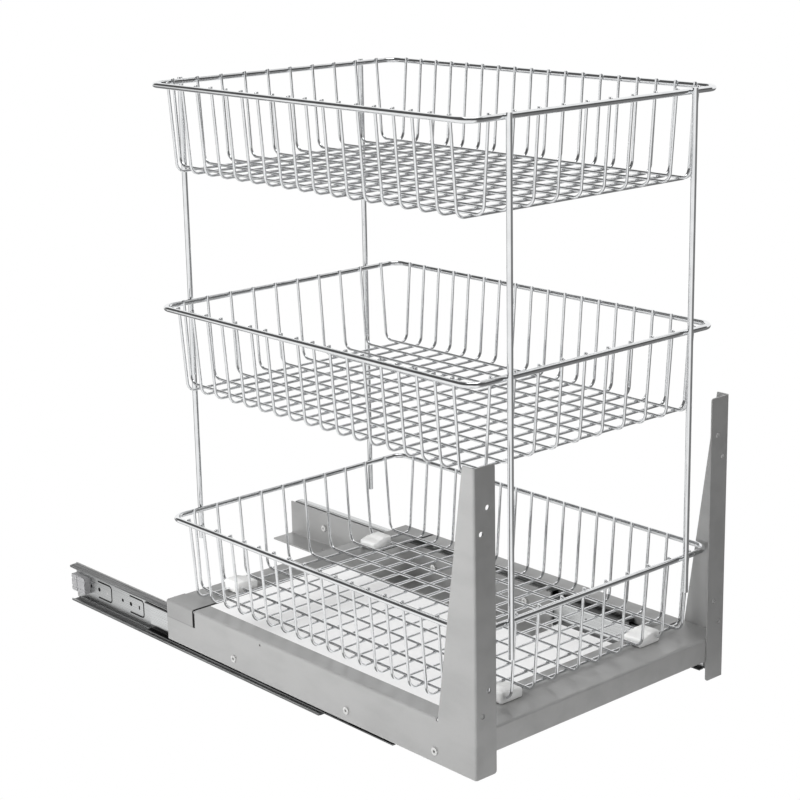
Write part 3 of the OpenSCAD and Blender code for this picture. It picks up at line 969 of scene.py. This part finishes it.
def floor_finish(studio):
    """White floor, with a shade inside the frame that the camera sees. Shiny metal sees it
    dark, with light below the unit, at the backdrop, and on the left and the camera's side."""
    material = bpy.data.materials.new("studio_floor")
    material.use_nodes = True
    tree = material.node_tree
    tree.nodes.remove(tree.nodes["Principled BSDF"])
    matte = plain_shader(tree, "ShaderNodeBsdfDiffuse", shaded(studio.white, studio.floor_bounce))

    x, y, _ = on_part(tree, "Object")
    shade = all_of(
        tree, band(tree, x, *SHADE_X, SHADE_X_SOFT), band(tree, y, *SHADE_Y, SHADE_Y_SOFT)
    )
    seen = blend(
        tree,
        fade(tree, shade, (0.0, 1.0), (1.0, studio.floor_glow)),
        plain_shader(tree, "ShaderNodeBsdfDiffuse", studio.white),
        plain_shader(tree, "ShaderNodeEmission", studio.white),
    )

    place = tree.nodes.new("ShaderNodeTexCoord").outputs["Object"]
    around = tree.nodes.new("ShaderNodeVectorMath")
    around.operation = "NORMALIZE"
    tree.links.new(place, around.inputs[0])
    ahead, left = room_leans(tree, around.outputs["Vector"], studio)
    wall = fade(tree, ahead, FLOOR_BACKDROP_AHEAD, (studio.floor_side, 1.0))
    beside = fade(tree, ahead, FLOOR_CARD_AHEAD, (1.0, 0.0))
    card = all_of(tree, beside, fade(tree, left, FLOOR_CARD_LEFT, (0.0, studio.card)))
    under = reach(tree, place, UNDER_HALF_AXES)
    below = fade(tree, under, UNDER_REACH, (studio.floor_under, 0.0))
    level = any_of(tree, wall, card, below)
    shiny = plain_shader(tree, "ShaderNodeEmission", studio.white, level)

    output = tree.nodes["Material Output"]
    tree.links.new(by_ray(tree, matte, shiny, seen), output.inputs["Surface"])
    return material


def add_floor(material, centre):
    """A square floor at the cabinet floor's height."""
    bm = bmesh.new()
    bmesh.ops.create_grid(bm, x_segments=1, y_segments=1, size=FLOOR_HALF)
    mesh = bpy.data.meshes.new("studio_floor")
    bm.to_mesh(mesh)
    bm.free()
    mesh.materials.append(material)
    floor = bpy.data.objects.new("studio_floor", mesh)
    floor.location = (centre.x, centre.y, -FLOOR_GAP)
    bpy.context.scene.collection.objects.link(floor)


def light_room(scene, studio):
    """World: white to the camera, an even light on the object, and for shiny metal a dark room
    with a white backdrop, a low card on the left and a tall one on the right, beyond the
    unit."""
    world = bpy.data.worlds.new("studio")
    scene.world = world
    world.use_nodes = True
    tree = world.node_tree
    tree.nodes.remove(tree.nodes["Background"])

    way = tree.nodes.new("ShaderNodeTexCoord").outputs["Generated"]
    ahead, left = room_leans(tree, way, studio)
    up = lean_towards(tree, way, (0.0, 0.0, 1.0))
    wall = fade(tree, ahead, BACKDROP_AHEAD)
    low_card = all_of(
        tree, fade(tree, up, LOW_CARD_UP, (studio.card, 0.0)), fade(tree, left, LOW_CARD_LEFT)
    )
    tall_card = all_of(
        tree,
        fade(tree, left, TALL_CARD_LEFT, (studio.card, 0.0)),
        fade(tree, ahead, TALL_CARD_AHEAD),
    )
    glimmer = any_of(tree, wall, low_card, tall_card)
    level = fade(tree, glimmer, (0.0, 1.0), (studio.room, 1.0))

    kind = "ShaderNodeBackground"
    matte = plain_shader(tree, kind, studio.white, studio.even_light)
    shiny = plain_shader(tree, kind, studio.white, level)
    seen = plain_shader(tree, kind, studio.white)
    output = tree.nodes["World Output"]
    tree.links.new(by_ray(tree, matte, shiny, seen), output.inputs["Surface"])


# ------------------------------------------------------------------ operators


class BASKET_OT_finish_wires(bpy.types.Operator):
    """Gives the baskets and posts their chrome plate"""

    bl_idname = "basket.finish_wires"
    bl_label = "Finish wires"

    def execute(self, context):
        chrome = chrome_finish(context.scene.basket_wires)
        for tier in TIERS:
            for wires in ("rim", "cross_wires", "long_wires"):
                dress(chrome, f"{tier}_basket_{wires}")
        for end in ENDS:
            dress(chrome, *both(f"post_{end}"))
        return {"FINISHED"}


class BASKET_OT_weld_baskets(bpy.types.Operator):
    """Adds the welds that hold the wires, the rims and the posts together"""

    bl_idname = "basket.weld_baskets"
    bl_label = "Weld baskets"

    def execute(self, context):
        chrome = bpy.data.materials["chrome_plate"]
        for tier in TIERS:
            weld_basket(tier, context.scene.basket_wires, chrome)
        return {"FINISHED"}


class BASKET_OT_finish_sheet(bpy.types.Operator):
    """Gives the folded sheet parts their powder coat"""

    bl_idname = "basket.finish_sheet"
    bl_label = "Finish sheet metal"

    def execute(self, context):
        settings = context.scene.basket_sheet
        # Painted light: the same paint made lighter on the front and darker on the rear.
        sides, rear, front = settings.painted_light_shades
        dress(paint_with_seam_shade("silver_paint_sides", settings, sides), *both("side_plate"))
        dress(paint_with_seam_shade("silver_paint_rear", settings, rear), "rear_cross_member")
        dress(paint_finish("silver_paint_front", settings, front), "front_cross_member")
        # Painted shade, nearly black, for the base angles' outer faces behind the slides.
        shade_behind_slides_color = shaded(context.scene.basket_slides.grease_and_shade, 0.4)
        dress(base_finish(settings, shade_behind_slides_color), *both("base_angle"))
        return {"FINISHED"}


class BASKET_OT_finish_slides(bpy.types.Operator):
    """Gives slide members, ball cages and balls their finishes"""

    bl_idname = "basket.finish_slides"
    bl_label = "Finish slides"

    def execute(self, context):
        settings = context.scene.basket_slides
        outer = zinc_finish("zinc_outer_member", settings, OUTER_RACE, settings.outer_film_and_shade, outer=True)
        dress(outer, *both("slide_outer"))
        middle = zinc_finish("zinc_middle_member", settings, MIDDLE_RACE, settings.grease_and_shade)
        dress(middle, *both("slide_middle"))
        inner = zinc_finish("zinc_inner_member", settings, INNER_RACE, settings.grease_and_shade)
        dress(inner, *both("slide_inner"))
        dress(cage_finish(settings), *both("outer_cage"), *both("inner_cage"))
        dress(ball_finish(settings), *both("outer_balls"), *both("inner_balls"))
        return {"FINISHED"}


class BASKET_OT_finish_mouldings(bpy.types.Operator):
    """Moulds the basket clips, and gives them and the slides' buffers their plastics"""

    bl_idname = "basket.finish_mouldings"
    bl_label = "Finish mouldings"

    def execute(self, context):
        settings = context.scene.basket_mouldings
        nylon = clip_finish(settings)
        for end in ENDS:
            for side in SIDES:
                mould_clip(end, side, settings, nylon)
        dress(buffer_finish(settings), *both("slide_buffer"))
        return {"FINISHED"}


class BASKET_OT_finish_fasteners(bpy.types.Operator):
    """Gives rivets and screws their bright zinc"""

    bl_idname = "basket.finish_fasteners"
    bl_label = "Finish fasteners"

    def execute(self, context):
        zinc = fastener_finish(context.scene.basket_fasteners)
        dress(zinc, *both("slide_rivets"), *both("slide_screws"), "clip_screws")
        return {"FINISHED"}


class BASKET_OT_set_camera(bpy.types.Operator):
    """Places the camera"""

    bl_idname = "basket.set_camera"
    bl_label = "Set camera"

    def execute(self, context):
        studio = context.scene.basket_studio
        data = bpy.data.cameras.new("camera")
        data.lens = studio.lens
        data.sensor_width = 36.0
        camera = bpy.data.objects.new("camera", data)
        turn = (
            Matrix.Rotation(studio.heading, 4, "Z")
            @ Matrix.Rotation(math.pi / 2 - studio.tilt, 4, "X")
            @ Matrix.Rotation(studio.roll, 4, "Z")
        )
        camera.matrix_world = Matrix.Translation(studio.camera_place) @ turn
        context.scene.collection.objects.link(camera)
        context.scene.camera = camera
        return {"FINISHED"}


class BASKET_OT_set_studio(bpy.types.Operator):
    """Sets up the floor, the backdrop and the lamps"""

    bl_idname = "basket.set_studio"
    bl_label = "Set studio"

    def execute(self, context):
        studio = context.scene.basket_studio
        low, high = (Vector(corner) for corner in CAD_BOX)
        centre = (low + high) / 2
        add_floor(floor_finish(studio), centre)
        light_room(context.scene, studio)
        for name, power, offset, size, reflected in LAMPS:
            add_lamp(name, centre, offset, size, getattr(studio, power), reflected)
        context.scene.view_settings.view_transform = "Standard"
        return {"FINISHED"}


# ------------------------------------------------------------------ panel and main


class BASKET_PT_parts(bpy.types.Panel):
    """Lists the steps that dress the basket unit"""

    bl_label = "Basket unit"
    bl_idname = "BASKET_PT_parts"
    bl_space_type = "VIEW_3D"
    bl_region_type = "UI"
    bl_category = "Basket unit"

    def draw(self, context):
        for operator in OPERATORS:
            self.layout.operator(operator.bl_idname)


SETTINGS = {
    "basket_wires": WireSettings,
    "basket_sheet": SheetSettings,
    "basket_slides": SlideSettings,
    "basket_mouldings": MouldingSettings,
    "basket_fasteners": FastenerSettings,
    "basket_studio": StudioSettings,
}
OPERATORS = (
    BASKET_OT_set_camera,
    BASKET_OT_finish_wires,
    BASKET_OT_weld_baskets,
    BASKET_OT_finish_sheet,
    BASKET_OT_finish_slides,
    BASKET_OT_finish_mouldings,
    BASKET_OT_finish_fasteners,
    BASKET_OT_set_studio,
)


def register():
    for group in SETTINGS.values():
        bpy.utils.register_class(group)
    for name, group in SETTINGS.items():
        setattr(bpy.types.Scene, name, PointerProperty(type=group))
    for operator in OPERATORS:
        bpy.utils.register_class(operator)
    bpy.utils.register_class(BASKET_PT_parts)


def unregister():
    bpy.utils.unregister_class(BASKET_PT_parts)
    for operator in reversed(OPERATORS):
        bpy.utils.unregister_class(operator)
    for name in SETTINGS:
        delattr(bpy.types.Scene, name)
    for group in reversed(SETTINGS.values()):
        bpy.utils.unregister_class(group)


def main():
    register()
    for operator in OPERATORS:
        group, action = operator.bl_idname.split(".")
        getattr(getattr(bpy.ops, group), action)()


if __name__ == "__main__":
    main()
